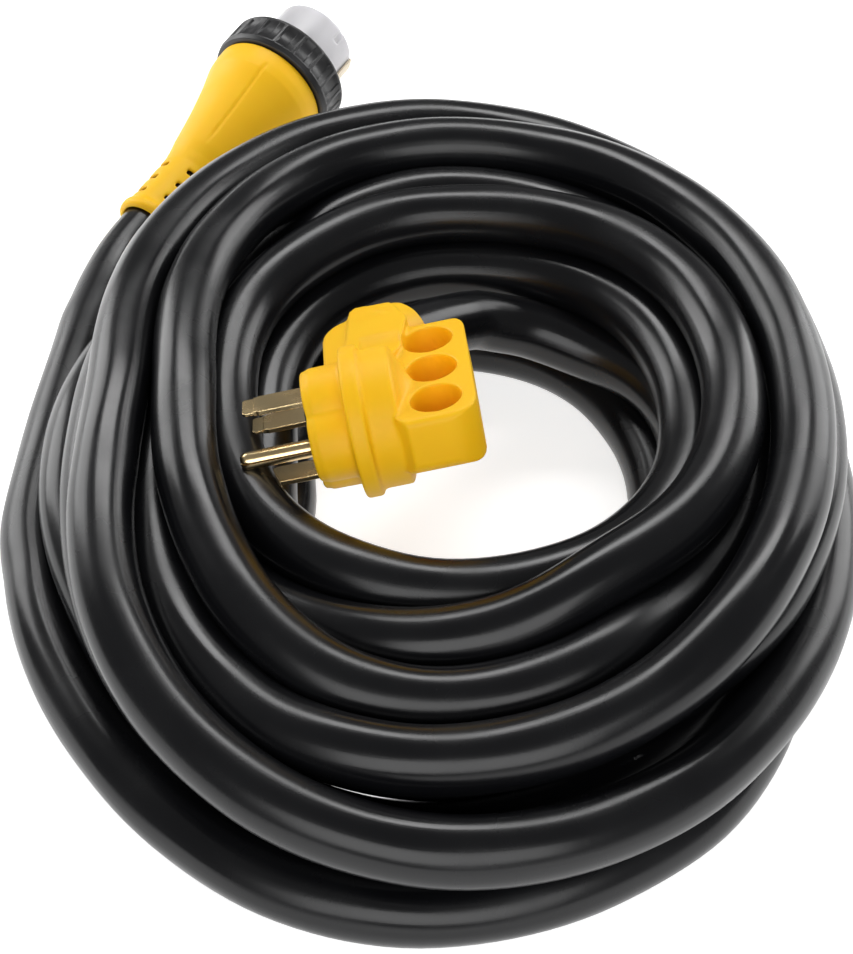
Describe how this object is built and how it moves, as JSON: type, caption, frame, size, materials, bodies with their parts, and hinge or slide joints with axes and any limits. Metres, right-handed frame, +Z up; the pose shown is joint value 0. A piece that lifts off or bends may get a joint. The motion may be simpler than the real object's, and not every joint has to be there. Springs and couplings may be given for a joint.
{
  "type": "shore power cord",
  "caption": "Coiled shore power cord with a bladed plug that has a finger-hole handle at one end and a locking connector with a turning ring at the other.",
  "frame": {"origin": "middle of the whole object's footprint, on the floor that it lies on", "axes": "+Z up from the floor; +Y along the coil's long way, towards the connector; +X to the right of it"},
  "size_m": [0.35, 0.5336, 0.1118],
  "materials": {
    "jacket": "semi-gloss vinyl jacket with light scuffs",
    "yellow_vinyl": "satin moulded vinyl",
    "black_nylon": "satin moulded nylon",
    "brass": "stamped, satin faces with bright edges",
    "white_nylon": "satin, slightly translucent",
    "cream_nylon": "satin",
    "seal_rubber": "matte",
    "core_black": "satin insulation",
    "core_red": "satin insulation",
    "core_white": "satin insulation",
    "core_green": "satin insulation"
  },
  "bodies": {
    "cordset": {"connector_boot": "yellow_vinyl", "connector_nose": "white_nylon", "connector_wire_black": "core_black", "connector_wire_green": "core_green", "connector_wire_red": "core_red", "connector_wire_white": "core_white", "contact_carrier": "cream_nylon", "contact_w": "brass", "contact_x": "brass", "contact_y": "brass", "cord_coil": "jacket", "cord_tail_connector": "jacket", "cord_tail_plug": "jacket", "ground_contact": "cream_nylon", "ground_pin": "brass", "hot_blade_x": "brass", "hot_blade_y": "brass", "neutral_blade": "brass", "plug_insert": "black_nylon", "plug_overmould": "yellow_vinyl", "plug_wire_black": "core_black", "plug_wire_green": "core_green", "plug_wire_red": "core_red", "plug_wire_white": "core_white", "ring_retainer": "white_nylon", "seal_gasket": "seal_rubber"},
    "ring": {"locking_ring": "black_nylon"}
  },
  "joints": [
    {"name": "ring_spin", "type": "hinge", "parent": "cordset", "child": "ring", "pos_m": [-0.07418, 0.22623, 0.03454], "axis": [0.5078, 0.8484, 0.1495], "continuous": true}
  ]
}
